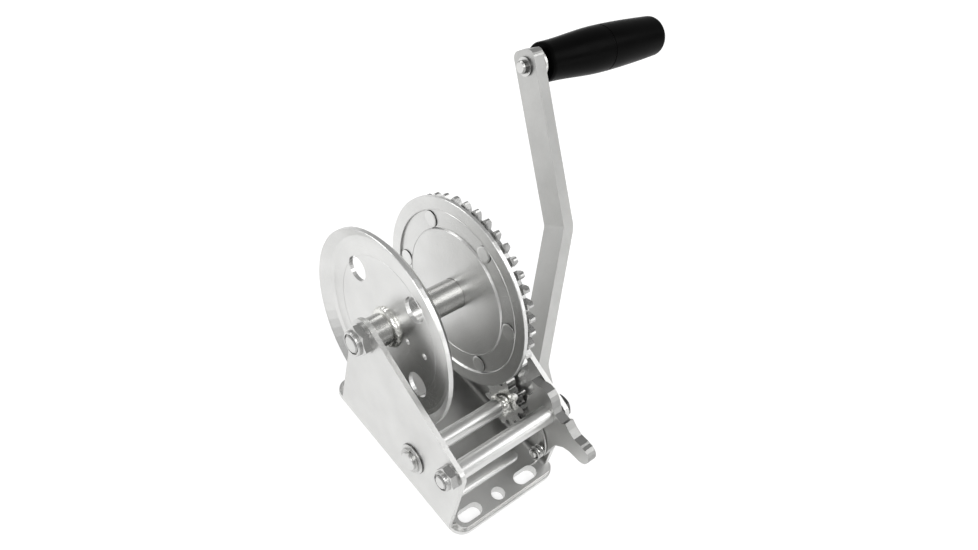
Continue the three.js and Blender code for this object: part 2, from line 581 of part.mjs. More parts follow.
// Wound wire spring about its pin: one leg bends up toward the pivot and one reaches down to the front.
function pawlSpring() {
  const coilEnd = SPRING.x0 + SPRING.turns * SPRING.pitch;
  const y0 = TIE_Y + SPRING.y;
  const z0 = TIE_Z + SPRING.z;
  const points = [
    new THREE.Vector3(SPRING.x0 - 0.3, y0 - 1.5, z0 - 10.5),
    new THREE.Vector3(SPRING.x0, y0 - SPRING.coilR + 0.3, z0 - 5),
  ];
  const perTurn = 12;
  for (let i = 0; i <= SPRING.turns * perTurn; i += 1) {
    const angle = Math.PI + 2 * Math.PI * i / perTurn;
    points.push(new THREE.Vector3(
      SPRING.x0 + 0.4 + SPRING.pitch * i / perTurn * 0.94,
      y0 + SPRING.coilR * Math.cos(angle),
      z0 + SPRING.coilR * Math.sin(angle)));
  }
  points.push(new THREE.Vector3(coilEnd + 0.3, y0 - 3.0, z0 + 6));
  points.push(new THREE.Vector3(coilEnd + 0.5, y0 + 1.5, z0 + 14));
  points.push(new THREE.Vector3(coilEnd + 0.5, y0 + 7.5, z0 + 20));
  const curve = new THREE.CatmullRomCurve3(points, false, 'centripetal');
  const section = disc(0, 0, SPRING.wireR, 7);
  return solid(new THREE.ExtrudeGeometry(section, { steps: 90, bevelEnabled: false, extrudePath: curve }));
}

function pawlSpringPin() {
  const tip = SPRING.x0 - 0.6;
  return turnedX([
    [0, tip], [SPRING_PIN_R - 0.5, tip], [SPRING_PIN_R, tip + 0.5], [SPRING_PIN_R, PAWL_X0 - 0.02],
    [0, PAWL_X0 - 0.02],
  ], TIE_Y + SPRING.y, TIE_Z + SPRING.z, ROUND_SMALL);
}

// ---------------------------------------------------------------- input shaft and crank

// The crank's own frame: X along the shaft and Z (s) from the shaft to the grip, before it leans back.
const crankFrame = () => {
  const group = new THREE.Group();
  group.position.set(0, INPUT_Y, INPUT_Z);
  group.rotation.x = -CRANK_LEAN;
  return group;
};

const inputShaft = () => turnedX([
  [0, INPUT_LEFT_X], [INPUT_R - 0.6, INPUT_LEFT_X], [INPUT_R, INPUT_LEFT_X + 0.6],
  [INPUT_R, CRANK_FLAT_X + CRANK_T - 0.3], [CRANK_STUD_R, CRANK_FLAT_X + CRANK_T - 0.3],
  [CRANK_STUD_R, INPUT_RIGHT_X - 0.6], [CRANK_STUD_R - 0.6, INPUT_RIGHT_X], [0, INPUT_RIGHT_X],
], INPUT_Y, INPUT_Z, ROUND_SMALL);

const shaftCollar = () => turnedX([
  [INPUT_R + CLEAR, COLLAR.x0], [COLLAR.r - 1.2, COLLAR.x0], [COLLAR.r, COLLAR.x0 + 1.2],
  [COLLAR.r, COLLAR.x1 - 0.3], [COLLAR.r - 0.3, COLLAR.x1], [INPUT_R + CLEAR, COLLAR.x1],
], INPUT_Y, INPUT_Z, ROUND_SMALL);

// Open retaining ring outside the nut-side bush.
function retainingRing() {
  const x1 = -HALF_WIDTH - BUSH.flangeT - 0.1;
  const ring = tubeX(INPUT_Y, INPUT_Z, INPUT_R + 2.4, INPUT_R + 0.06, x1 - 1.2, x1, ROUND_SMALL);
  const gap = outline([[-2, 0], [2, 0], [2, 12], [-2, 12]].map(([y, z]) => [y + INPUT_Y, z + INPUT_Z]));
  return cut(ring, alongX(gap, x1 - 3, x1 + 1));
}

// Flat bar: a short flat end on the shaft, a stretch that leans outwards, and a nearly parallel upper stretch.
function crankArm() {
  const top = { x: CRANK_TOP.x, s: CRANK_TOP.s };
  const end = CRANK_W / 2;
  const slope = Math.tan(GRIP_TILT);
  const half = CRANK_T / 2;
  const lean = Math.atan2(CRANK_FOLD.x - CRANK_FLAT_X, CRANK_FOLD.s - CRANK_FIRST_FOLD_S);
  const middle = [
    [CRANK_FLAT_X + half, -end],
    [CRANK_FLAT_X + half, CRANK_FIRST_FOLD_S - half * Math.tan(lean / 2)],
    [CRANK_FOLD.x + half, CRANK_FOLD.s - half * Math.tan((lean + GRIP_TILT) / 2)],
    [top.x + slope * CRANK_END + half / Math.cos(GRIP_TILT), top.s + CRANK_END],
  ];
  const bar = alongY(outline(bentStrip(middle, CRANK_T, 12)), -CRANK_W / 2, CRANK_W / 2);
  const face = outline([
    ...arc(0, 0, end, 180, 360, 12),
    ...arc(end - CRANK_END_CORNER, top.s + CRANK_END - CRANK_END_CORNER, CRANK_END_CORNER, 0, 90, 6),
    ...arc(CRANK_END_CORNER - end, top.s + CRANK_END - CRANK_END_CORNER, CRANK_END_CORNER, 90, 180, 6),
  ]);
  const rounded = bar.intersect(alongX(face, CRANK_FLAT_X - 5, CRANK_TOP.x + 30));
  const shaftHole = rodX(0, 0, INPUT_R + CLEAR, CRANK_FLAT_X - 5, CRANK_FLAT_X + CRANK_T + 5);
  return cut(rounded, shaftHole, ontoGripAxis(rodX(0, 0, GRIP.rivetR + CLEAR, -5, CRANK_T + 5)));
}

// Moves a piece made about the X axis onto the grip's axis, in the crank's frame. Its X = 0 is the arm's near face.
function ontoGripAxis(part) {
  return part.rotate([0, THREE.MathUtils.radToDeg(GRIP_TILT), 0]).translate([CRANK_TOP.x, 0, CRANK_TOP.s]);
}

// Rivet through the arm and the grip: flanged head on the near side, shoulder in the grip, upset far end.
function gripRivet() {
  const farEnd = GRIP.start + GRIP.length - 8;
  return ontoGripAxis(turnedX([
    [0, -5.2], [3.6, -5.2], [4.7, -4.2], [4.7, -1.4], [6.7, -1.4], [6.7, -0.02], [GRIP.rivetR, -0.02],
    [GRIP.rivetR, farEnd], [0, farEnd],
  ], 0, 0, ROUND_SMALL));
}

const gripWasher = () =>
  ontoGripAxis(tubeX(0, 0, 10.8, GRIP.rivetR + CLEAR, CRANK_T + 0.05, CRANK_T + 1.85, 36));
const gripSpacer = () =>
  ontoGripAxis(tubeX(0, 0, 7.6, GRIP.rivetR + CLEAR, CRANK_T + 1.95, GRIP.start - 0.1, ROUND_SMALL));

// Barrel-shaped grip with a shallow parting groove; its bore is blind at the far end.
function grip() {
  const x0 = GRIP.start;
  const x1 = GRIP.start + GRIP.length;
  const seam = x0 + GRIP.length * 0.5;
  return ontoGripAxis(turnedX([
    [GRIP.boreR, x0], [12.6, x0], [14.0, x0 + 1.2], [14.4, x0 + 6], [15.6, x0 + 28], [16.6, x0 + 50],
    [16.8, seam - 0.6], [16.4, seam], [16.8, seam + 0.6], [16.5, seam + 16], [15.6, seam + 36],
    [14.9, x1 - 7], [13.6, x1 - 3.2], [11.2, x1 - 0.9], [8, x1], [0, x1],
    [0, x1 - 5], [GRIP.boreR, x1 - 5],
  ], 0, 0, 40));
}

const crankSpacer = () => tubeX(INPUT_Y, INPUT_Z, 9.2, INPUT_R + CLEAR,
  HALF_WIDTH + BUSH.flangeT + 0.15, CRANK_FLAT_X - 0.05, ROUND_SMALL);

function crankNut() {
  const x0 = CRANK_FLAT_X + CRANK_T + 0.05;
  return cut(hexX(INPUT_Y, INPUT_Z, CRANK_NUT.flats, x0, x0 + CRANK_NUT.t, 1),
    rodX(INPUT_Y, INPUT_Z, CRANK_STUD_R + 0.05, x0 - 1, x0 + CRANK_NUT.t + 1));
}

// ---------------------------------------------------------------- assembly

function piece(name, manifold, material) {
  const mesh = new THREE.Mesh(toGeometry(manifold), material());
  mesh.name = name;
  return mesh;
}

function frameGroup() {
  const group = new THREE.Group();
  group.add(
    piece('left_side_plate', leftSidePlate(), zincSheet),
    piece('right_side_plate', rightSidePlate(), zincSheet),
    piece('front_spacer_tube',
      tubeX(TIE_Y, TIE_Z, SPACER_R, SPACER_BORE_R, -INNER_X + 0.05, INNER_X - 0.05, 36), zincDrum),
    piece('front_tie_bolt', throughBolt(TIE_BOLT, TIE_Y, TIE_Z), zincFastener),
    piece('front_tie_nut', throughNut(TIE_BOLT, TIE_Y, TIE_Z), zincFastener),
    piece('drum_axle_bolt', throughBolt(AXLE_BOLT, 0, AXLE_Z), zincFastener),
    piece('drum_axle_nut', throughNut(AXLE_BOLT, 0, AXLE_Z), zincFastener),
    piece('left_shaft_bush', bush(-1), zincFastener),
    piece('right_shaft_bush', bush(1), zincFastener),
  );
  return group;
}

function pawlGroup() {
  const group = new THREE.Group();
  group.add(
    piece('pawl_lever', pawl(), zincSheet),
    piece('pawl_spring', pawlSpring(), springSteel),
    piece('pawl_spring_pin', pawlSpringPin(), zincFastener),
  );
  return group;
}

function drumGroup() {
  const group = new THREE.Group();
  group.add(
    piece('drum_hub_tube', tubeX(0, AXLE_Z, HUB_R, HUB_BORE_R, -HUB_END_X, HUB_END_X, ROUND), zincDrum),
    piece('left_flange', leftFlange(), zincDrum),
    piece('right_flange', rightFlange(), zincDrum),
    piece('drum_gear', drumGear(), zincDrum),
    piece('left_flange_weld', hubWeld(LEFT_WEB_X, -1), weldMetal),
    piece('drum_gear_weld', hubWeld(GEAR.x1, 0.5), weldMetal),
  );
  rivetPlaces().forEach((place, i) => group.add(piece(`gear_rivet_${i + 1}`, gearRivet(place), zincFastener)));
  for (const [name, side] of [['left', -1], ['right', 1]]) {
    const ends = [side * (HUB_END_X - 14), side * (HUB_END_X - 0.2)].sort((a, b) => a - b);
    group.add(piece(`${name}_drum_bush`,
      tubeX(0, AXLE_Z, HUB_BORE_R - 0.05, AXLE_BOLT.r + RUN, ...ends), sinteredBronze));
    const washer = [side * (HUB_END_X + 0.1), side * (INNER_X - 0.1)].sort((a, b) => a - b);
    group.add(piece(`${name}_thrust_washer`,
      tubeX(0, AXLE_Z, HUB_R + 1.4, AXLE_BOLT.r + RUN, ...washer, 36), zincFastener));
  }
  return group;
}

function crankGroup() {
  const group = new THREE.Group();
  group.add(
    piece('input_shaft', inputShaft(), zincBar),
    piece('pinion', pinion(), zincBar),
    piece('shaft_collar', shaftCollar(), weldMetal),
    piece('shaft_retaining_ring', retainingRing(), springSteel),
    piece('crank_spacer', crankSpacer(), zincFastener),
    piece('crank_nut', crankNut(), zincFastener),
  );
  const arm = crankFrame();
  arm.add(
    piece('crank_arm', crankArm(), zincBar),
    piece('grip_rivet', gripRivet(), zincFastener),
    piece('grip_washer', gripWasher(), zincFastener),
    piece('grip_spacer', gripSpacer(), zincFastener),
    piece('grip', grip(), blackPlastic),
  );
  group.add(arm);
  return group;
}

const winch = new THREE.Group();
winch.name = 'boat_trailer_winch';
winch.add(frameGroup(), drumGroup(), crankGroup(), pawlGroup());

export default winch;
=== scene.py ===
"""Looks of a hand-cranked trailer winch: plated steel and a moulded grip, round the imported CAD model."""

import json
import math

import bmesh
import bpy
from mathutils import Matrix, Vector, noise


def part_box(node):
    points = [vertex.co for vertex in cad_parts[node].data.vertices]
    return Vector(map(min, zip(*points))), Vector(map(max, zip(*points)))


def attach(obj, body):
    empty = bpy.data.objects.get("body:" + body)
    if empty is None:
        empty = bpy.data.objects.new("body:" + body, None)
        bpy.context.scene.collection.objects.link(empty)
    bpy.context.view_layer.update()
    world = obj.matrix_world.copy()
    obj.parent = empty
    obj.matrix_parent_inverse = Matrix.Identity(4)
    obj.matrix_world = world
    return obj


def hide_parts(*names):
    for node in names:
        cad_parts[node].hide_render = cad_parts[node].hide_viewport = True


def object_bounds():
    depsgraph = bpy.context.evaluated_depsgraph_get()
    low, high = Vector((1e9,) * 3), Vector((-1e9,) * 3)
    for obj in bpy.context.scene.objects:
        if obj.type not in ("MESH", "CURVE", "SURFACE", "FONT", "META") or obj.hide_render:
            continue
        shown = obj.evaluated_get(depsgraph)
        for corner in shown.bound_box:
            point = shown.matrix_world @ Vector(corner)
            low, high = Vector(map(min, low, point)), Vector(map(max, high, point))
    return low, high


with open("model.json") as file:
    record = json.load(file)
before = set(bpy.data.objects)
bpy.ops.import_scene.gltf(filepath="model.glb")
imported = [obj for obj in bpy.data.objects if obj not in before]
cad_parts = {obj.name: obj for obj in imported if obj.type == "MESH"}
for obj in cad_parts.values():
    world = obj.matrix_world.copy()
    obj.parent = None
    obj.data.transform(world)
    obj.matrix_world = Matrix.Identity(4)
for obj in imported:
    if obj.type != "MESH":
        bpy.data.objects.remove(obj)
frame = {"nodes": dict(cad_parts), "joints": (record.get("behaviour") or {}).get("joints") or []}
cad_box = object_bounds()

MM = 0.001
X_AXIS = Vector((1, 0, 0))
SHARP_DEGREES = 32
ROUND_SIDES = 96
SMALL_SIDES = 48
WELD_SIDES = 144
AXIS_EPSILON = 1e-7                     # a radius below this is a point on the axis, in metres

SPACER_WALL = 1.3 * MM
HUB_BORE = 8.5 * MM
HUB_OUTER = 10.9 * MM                   # where the weld beads meet the hub tube
BUSH_BORE = 6.3 * MM
BUSH_BARREL = 8.5 * MM
BUSH_FLANGE = 1.8 * MM
BUSH_STEP = 0.5 * MM
COLLAR_BORE = 6.2 * MM
STUD_RADIUS = 4.0 * MM
STUD_LENGTH = 3.9 * MM
GRIP_BORE = 5.2 * MM
GRIP_WAIST = 14.0 * MM
GRIP_TAIL = 14.8 * MM
GRIP_END_ROUND = 6.0 * MM
GRIP_STEPS = 25                         # steps along each half of the grip
RIM_HEIGHT = 2.8 * MM                   # the left flange's flared rim, which its box includes
# Pressed lines on the drum's flanges: name, radius, size.
LEFT_BEADS = (("left_flange_ring", 49.0 * MM, 0.16 * MM),)
RIGHT_BEADS = (
    ("right_flange_outer_ring", 59.9 * MM, 0.34 * MM),
    ("right_flange_inner_ring", 46.0 * MM, 0.26 * MM),
)
NODES = frame["nodes"]
JOINTS = {joint["name"]: joint for joint in frame["joints"]}


# ------------------------------------------------------------------ measuring the CAD

def pivot(joint_name):
    """Point and direction of a joint's axis."""
    joint = JOINTS[joint_name]
    return Vector(joint["pos_m"]), Vector(joint["axis"]).normalized()


def span(node, point, axis):
    """Where a CAD node starts and ends along an axis, and its largest distance from it."""
    offsets = [v.co - point for v in NODES[node].data.vertices]
    along = [offset.dot(axis) for offset in offsets]
    radius = max((offset - axis * t).length for offset, t in zip(offsets, along))
    return min(along), max(along), radius


def centre_line(node):
    """Point at X = 0 on the middle line of a piece that runs along X."""
    low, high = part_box(node)
    middle = (low + high) / 2
    return Vector((0, middle.y, middle.z))


DRUM_POINT = pivot("drum_spin")[0]
SHAFT_POINT = pivot("crank_spin")[0]
GRIP_POINT, GRIP_AXIS = pivot("grip_spin")
TIE_POINT = pivot("pawl_swing")[0]


# ------------------------------------------------------------------ materials

def new_material(name):
    material = bpy.data.materials.new(name)
    material.use_nodes = True
    nodes, links = material.node_tree.nodes, material.node_tree.links
    return material, nodes, links, nodes["Principled BSDF"]


def texture_noise(nodes, links, scale, detail=5.0, stretch=(1, 1, 1)):
    """Noise in the object's own coordinates, stretched along an axis by a small factor."""
    place = nodes.new("ShaderNodeTexCoord")
    mapping = nodes.new("ShaderNodeMapping")
    mapping.inputs["Scale"].default_value = stretch
    texture = nodes.new("ShaderNodeTexNoise")
    texture.inputs["Scale"].default_value = scale
    texture.inputs["Detail"].default_value = detail
    links.new(place.outputs["Object"], mapping.inputs["Vector"])
    links.new(mapping.outputs["Vector"], texture.inputs["Vector"])
    return texture.outputs["Fac"]


def remap(nodes, links, value, low, high, start=0.3, end=0.7):
    node = nodes.new("ShaderNodeMapRange")
    node.inputs["From Min"].default_value = start
    node.inputs["From Max"].default_value = end
    node.inputs["To Min"].default_value = low
    node.inputs["To Max"].default_value = high
    links.new(value, node.inputs["Value"])
    return node.outputs["Result"]


def tinted(nodes, links, value, colour, dark, light):
    """A colour that noise makes darker and lighter."""
    ramp = nodes.new("ShaderNodeValToRGB")
    ramp.color_ramp.elements[0].position = 0.3
    ramp.color_ramp.elements[1].position = 0.7
    ramp.color_ramp.elements[0].color = [c * dark for c in colour] + [1]
    ramp.color_ramp.elements[1].color = [min(1, c * light) for c in colour] + [1]
    links.new(value, ramp.inputs["Fac"])
    return ramp.outputs["Color"]


SIDE_SHADE_FULL = 0.4                         # size of a normal's X part at which a side's painted shade is at its darkest
SIDE_SHADE_NONE = 0.95                        # and at which it is not darkened at all


def painted_side_shade(nodes, links, colour, share):
    """Painted shade: darkens the colour of faces that don't look along the object's X axis, such as a gear's
    cut teeth.
    """
    place = nodes.new("ShaderNodeTexCoord")
    parts = nodes.new("ShaderNodeSeparateXYZ")
    size = nodes.new("ShaderNodeMath")
    size.operation = "ABSOLUTE"
    mix = nodes.new("ShaderNodeMix")
    mix.data_type = "RGBA"
    mix.blend_type = "MULTIPLY"
    mix.inputs["Factor"].default_value = 1.0
    links.new(place.outputs["Normal"], parts.inputs["Vector"])
    links.new(parts.outputs["X"], size.inputs[0])
    first, second = [socket for socket in mix.inputs if socket.type == "RGBA"]
    links.new(colour, first)
    shade = remap(nodes, links, size.outputs["Value"], share, 1.0, SIDE_SHADE_FULL, SIDE_SHADE_NONE)
    links.new(shade, second)
    return next(socket for socket in mix.outputs if socket.type == "RGBA")


def plated_steel(name, colour, roughness, grain=2600.0, bump=0.12, stretch=(1, 1, 1), turned=0.0,
                 mottle=0.05, painted_shade_share=1.0):
    """Satin zinc plate: fine grain, cloudy tone, painted shade on faces that don't look along X when a share
    below one is given, and, if turned, highlights drawn out round the axis.
    """
    material, nodes, links, shader = new_material(name)
    shader.inputs["Metallic"].default_value = 1.0
    cloud = texture_noise(nodes, links, 42.0, 4.0)
    fine = texture_noise(nodes, links, grain, 6.0, stretch)
    tone = tinted(nodes, links, cloud, colour, 1 - mottle, 1 + mottle)
    # painted shade: faces that don't look along X get a darker colour
    if painted_shade_share < 1:
        tone = painted_side_shade(nodes, links, tone, painted_shade_share)
    links.new(tone, shader.inputs["Base Color"])
    links.new(remap(nodes, links, fine, roughness - 0.05, roughness + 0.09), shader.inputs["Roughness"])
    bumps = nodes.new("ShaderNodeBump")
    bumps.inputs["Strength"].default_value = bump
    bumps.inputs["Distance"].default_value = 0.2 * MM
    links.new(fine, bumps.inputs["Height"])
    links.new(bumps.outputs["Normal"], shader.inputs["Normal"])
    if turned:
        shader.inputs["Anisotropic"].default_value = turned
        tangent = nodes.new("ShaderNodeTangent")
        tangent.direction_type = "RADIAL"
        tangent.axis = "X"
        links.new(tangent.outputs["Tangent"], shader.inputs["Tangent"])
    return material


def moulded_plastic(name, colour, roughness):
    """Black moulded grip: soft sheen, faint mould texture and rubbed patches."""
    material, nodes, links, shader = new_material(name)
    shader.inputs["Specular IOR Level"].default_value = 0.03
    cloud = texture_noise(nodes, links, 60.0, 3.0)
    fine = texture_noise(nodes, links, 1800.0, 3.0)
    links.new(tinted(nodes, links, cloud, colour, 0.8, 1.25), shader.inputs["Base Color"])
    links.new(remap(nodes, links, cloud, roughness - 0.05, roughness + 0.07), shader.inputs["Roughness"])
    bumps = nodes.new("ShaderNodeBump")
    bumps.inputs["Strength"].default_value = 0.08
    bumps.inputs["Distance"].default_value = 0.1 * MM
    links.new(fine, bumps.inputs["Height"])
    links.new(bumps.outputs["Normal"], shader.inputs["Normal"])
    return material


SHEET = plated_steel("zinc_on_sheet", (0.66, 0.66, 0.65), 0.38, grain=1800, bump=0.07)
# A painted shade share below one darkens the colour of faces that don't look along X: painted shade on teeth,
# edges and sides.
BAR = plated_steel("zinc_on_bar", (0.50, 0.50, 0.49), 0.38, grain=1500, bump=0.10, stretch=(1, 1, 0.25),
                   painted_shade_share=0.85)
DRUM = plated_steel("zinc_on_drum", (0.70, 0.70, 0.69), 0.30, grain=2600, bump=0.04, turned=0.45,
                    painted_shade_share=0.9)
HUB = plated_steel("zinc_on_hub", (0.50, 0.50, 0.49), 0.24, grain=1500, bump=0.03, mottle=0.07)
TUBE = plated_steel("zinc_on_tube", (0.66, 0.66, 0.65), 0.33, grain=1500, bump=0.03, mottle=0.07)
GEAR_STEEL = plated_steel("zinc_on_gear", (0.76, 0.76, 0.75), 0.26, grain=1900, bump=0.08, painted_shade_share=0.5)
PINION_STEEL = plated_steel("zinc_on_pinion", (0.80, 0.80, 0.79), 0.22, grain=1900, bump=0.08, painted_shade_share=0.7)
PAWL_STEEL = plated_steel("zinc_on_pawl", (0.52, 0.52, 0.51), 0.36, grain=1900, bump=0.14, painted_shade_share=0.6)
# Rivet heads' sides are nearly black: painted shade for the dark crescent round each head.
BUTTON = plated_steel("zinc_on_rivets", (0.74, 0.74, 0.73), 0.30, grain=2400, bump=0.05, painted_shade_share=0.06)
FASTENER = plated_steel("zinc_on_fasteners", (0.68, 0.68, 0.66), 0.30, grain=2400, bump=0.06)
NUT = plated_steel("zinc_on_nuts", (0.66, 0.66, 0.65), 0.28, grain=2200, bump=0.06, painted_shade_share=0.6)
BOLT = plated_steel("zinc_on_bolts", (0.62, 0.62, 0.61), 0.30, grain=2200, bump=0.06, painted_shade_share=0.2)
WELD = plated_steel("plated_weld", (0.74, 0.74, 0.71), 0.25, grain=500, bump=0.10, mottle=0.10)
WIRE = plated_steel("spring_wire", (0.50, 0.50, 0.49), 0.24, grain=2600, bump=0.05)
BRONZE = plated_steel("sintered_bronze", (0.46, 0.34, 0.18), 0.48, grain=3200, bump=0.20)
GRIP_BLACK = moulded_plastic("grip_plastic", (0.0012, 0.0012, 0.0012), 0.34)


# ------------------------------------------------------------------ mesh building

def fillet(corners, closed=False, steps=4):
    """Points of a profile whose corners are (along, radius, rounding)."""
    points = []
    for i, (along, radius, rounding) in enumerate(corners):
        corner = Vector((along, radius))
        if rounding == 0 or (not closed and i in (0, len(corners) - 1)):
            points.append((along, radius))
            continue
        before = Vector(corners[i - 1][:2]) - corner
        after = Vector(corners[(i + 1) % len(corners)][:2]) - corner
        reach = min(rounding, before.length * 0.49, after.length * 0.49)
        start, end = corner + before.normalized() * reach, corner + after.normalized() * reach
        for k in range(steps + 1):
            s = k / steps
            points.append(tuple(start * (1 - s) ** 2 + corner * (2 * s * (1 - s)) + end * s * s))
    return points


def revolve(profile, point, axis=X_AXIS, sides=ROUND_SIDES, closed=False, shape=None):
    """A profile [(along, radius)] turned about an axis; shape(along, angle, radius) may change the radius."""
    side = (Vector((0, 1, 0)) - axis * axis.y).normalized()
    up = axis.cross(side)
    bm = bmesh.new()
    rings = []
    for along, radius in profile:
        middle = point + axis * along
        if radius < AXIS_EPSILON:
            rings.append([bm.verts.new(middle)])
            continue
        ring = []
        for k in range(sides):
            angle = 2 * math.pi * k / sides
            r = shape(along, angle, radius) if shape else radius
            ring.append(bm.verts.new(middle + (side * math.cos(angle) + up * math.sin(angle)) * r))
        rings.append(ring)
    pairs = list(zip(rings, rings[1:]))
    if closed:
        pairs.append((rings[-1], rings[0]))
    for first, second in pairs:
        for k in range(sides):
            j = (k + 1) % sides
            corners = [first[k % len(first)], first[j % len(first)]]
            corners += [second[j % len(second)], second[k % len(second)]]
            corners = list(dict.fromkeys(corners))
            if len(corners) > 2:
                bm.faces.new(corners)
    bmesh.ops.recalc_face_normals(bm, faces=bm.faces)
    return bm


def smooth(mesh, degrees=SHARP_DEGREES):
    """Smooth shading that breaks at sharp edges."""
    mesh.polygons.foreach_set("use_smooth", [True] * len(mesh.polygons))
    mesh.set_sharp_from_angle(angle=math.radians(degrees))


def piece(name, bm, material, body, slot, *replaced):
    mesh = bpy.data.meshes.new(name)
    bm.to_mesh(mesh)
    bm.free()
    smooth(mesh)
    mesh.materials.append(material)
    obj = bpy.data.objects.new(name, mesh)
    bpy.context.collection.objects.link(obj)
    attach(obj, body)
    if replaced:
        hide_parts(*replaced)
    return obj


def finish_cad(node, material, edge):
    """Gives a carried-over CAD node its material and rounds its sharp edges by edge millimetres."""
    obj = NODES[node]
    obj.data.materials.clear()
    obj.data.materials.append(material)
    smooth(obj.data)
    if edge:
        bevel = obj.modifiers.new("rounded_edges", "BEVEL")
        bevel.width = edge * MM
        bevel.segments = 3
        bevel.limit_method = "ANGLE"
        bevel.angle_limit = math.radians(SHARP_DEGREES)
        bevel.use_clamp_overlap = True
        bevel.harden_normals = True


# ------------------------------------------------------------------ frame

def build_frame():
    for node in ("left_side_plate", "right_side_plate"):
        finish_cad(node, SHEET, 0.5)
    start, end, radius = span("front_spacer_tube", TIE_POINT, X_AXIS)
    bore = radius - SPACER_WALL
    inside, outside = 0.2 * MM, 0.5 * MM
    corners = [(start, bore, inside), (start, radius, outside), (end, radius, outside), (end, bore, inside)]
    tube = revolve(fillet(corners, closed=True), TIE_POINT, closed=True)
    piece("spacer_tube", tube, TUBE, "frame", "zinc_drum", "front_spacer_tube")
    for place in ("front_tie", "drum_axle"):
        finish_cad(place + "_bolt", BOLT, 0.35)
        finish_cad(place + "_nut", NUT, 0.35)
    build_bushes()


def build_bushes():
    """Flanged bush of the crank shaft in each plate, with a turned step round its mouth."""
    for name, side in (("left_shaft_bush", -1), ("right_shaft_bush", 1)):
        start, end, radius = span(name, SHAFT_POINT, X_AXIS)
        inner, outer = (end, start) if side < 0 else (start, end)
        plate = outer - side * BUSH_FLANGE
        step = outer - side * BUSH_STEP
        corners = [
            (inner, BUSH_BORE, 0.2 * MM), (inner, BUSH_BARREL, 0.3 * MM),
            (plate, BUSH_BARREL, 0), (plate, radius, 0),
            (step, radius, 0.6 * MM), (step, BUSH_BARREL + 0.6 * MM, 0.3 * MM),
            (outer, BUSH_BARREL + 0.2 * MM, 0.3 * MM), (outer, BUSH_BORE, 0.4 * MM),
        ]
        bush = revolve(fillet(corners, closed=True), SHAFT_POINT, closed=True)
        piece(name.replace("bush", "bushing"), bush, BOLT, "frame", "zinc_fastener", name)


# ------------------------------------------------------------------ drum

def build_drum():
    start, end, radius = span("drum_hub_tube", DRUM_POINT, X_AXIS)
    inside, outside = 0.3 * MM, 0.6 * MM
    corners = [
        (start, HUB_BORE, inside), (start, radius, outside), (end, radius, outside), (end, HUB_BORE, inside),
    ]
    hub = revolve(fillet(corners, closed=True), DRUM_POINT, closed=True)
    piece("hub_tube", hub, HUB, "drum", "zinc_drum", "drum_hub_tube")
    finish_cad("left_flange", DRUM, 0.4)
    finish_cad("right_flange", DRUM, 0.3)
    finish_cad("drum_gear", GEAR_STEEL, 0.7)
    for side in ("left", "right"):
        finish_cad(side + "_drum_bush", BRONZE, 0.2)
        finish_cad(side + "_thrust_washer", FASTENER, 0.1)
    for i in range(1, 7):
        build_rivet("gear_rivet_%d" % i)
    left_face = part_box("left_flange")[1].x - RIM_HEIGHT
    right_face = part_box("right_flange")[0].x
    for face, beads in ((left_face, LEFT_BEADS), (right_face, RIGHT_BEADS)):
        for name, ring, size in beads:
            build_bead(name, face, ring, size)
    build_weld("left_flange_weld", -1)
    build_weld("drum_gear_weld", 1)


def build_bead(name, face, radius, size):
    """Fine raised line where the press has folded a flange: a ring of six-sided section, half buried."""
    turns = [k * math.pi / 3 for k in range(6)]
    section = [(face + size * math.sin(turn), radius + size * math.cos(turn)) for turn in turns]
    ring = revolve(section, DRUM_POINT, sides=2 * ROUND_SIDES, closed=True)
    piece(name, ring, DRUM, "drum", "zinc_drum")


def build_rivet(node):
    """Flat round rivet head with a rolled rim, and its shank."""
    point = centre_line(node)
    start, end, radius = span(node, point, X_AXIS)
    shank = radius * 0.66
    corners = [
        (start + 0.15 * MM, 0, 0), (start, radius * 0.8, 0.4 * MM), (start + 0.25 * MM, radius, 0.4 * MM),
        (start + 1.1 * MM, radius, 0.1 * MM), (start + 1.2 * MM, shank, 0),
        (end, shank, 0.4 * MM), (end, 0, 0),
    ]
    rivet = revolve(fillet(corners), point, sides=SMALL_SIDES)
    piece(node.replace("gear_rivet", "riveted_button"), rivet, BUTTON, "drum", "zinc_fastener", node)


def build_weld(node, side):
    """Uneven fillet bead round the hub tube, laid in overlapping ripples."""
    start, end, radius = span(node, DRUM_POINT, X_AXIS)
    foot, crest = (end, start) if side < 0 else (start, end)
    rise = crest - foot
    profile = [(foot, HUB_OUTER)]
    for k in range(9):
        turn = k / 8 * math.pi / 2
        height = HUB_OUTER + (radius - HUB_OUTER) * math.cos(turn)
        profile.append((foot + rise * math.sin(turn) * 0.98, height))
    profile.append((crest, HUB_OUTER - 0.05 * MM))

    def ripple(along, angle, limit):
        if limit < HUB_OUTER + 0.1 * MM:
            return limit
        lumps = noise.noise(Vector((math.cos(angle) * 2, math.sin(angle) * 2, along * 120)))
        scallop = abs(math.sin(angle * 7 + along / rise * 0.5))
        return HUB_OUTER + (limit - HUB_OUTER) * (0.84 + 0.12 * scallop + 0.20 * lumps)

    bead = revolve(profile, DRUM_POINT, sides=WELD_SIDES, shape=ripple)
    piece(node.replace("weld", "bead"), bead, WELD, "drum", "weld_bead", node)


# ------------------------------------------------------------------ pawl

def build_pawl():
    finish_cad("pawl_lever", PAWL_STEEL, 0.6)
    finish_cad("pawl_spring_pin", FASTENER, 0.3)
    finish_cad("pawl_spring", WIRE, 0)


# ------------------------------------------------------------------ crank

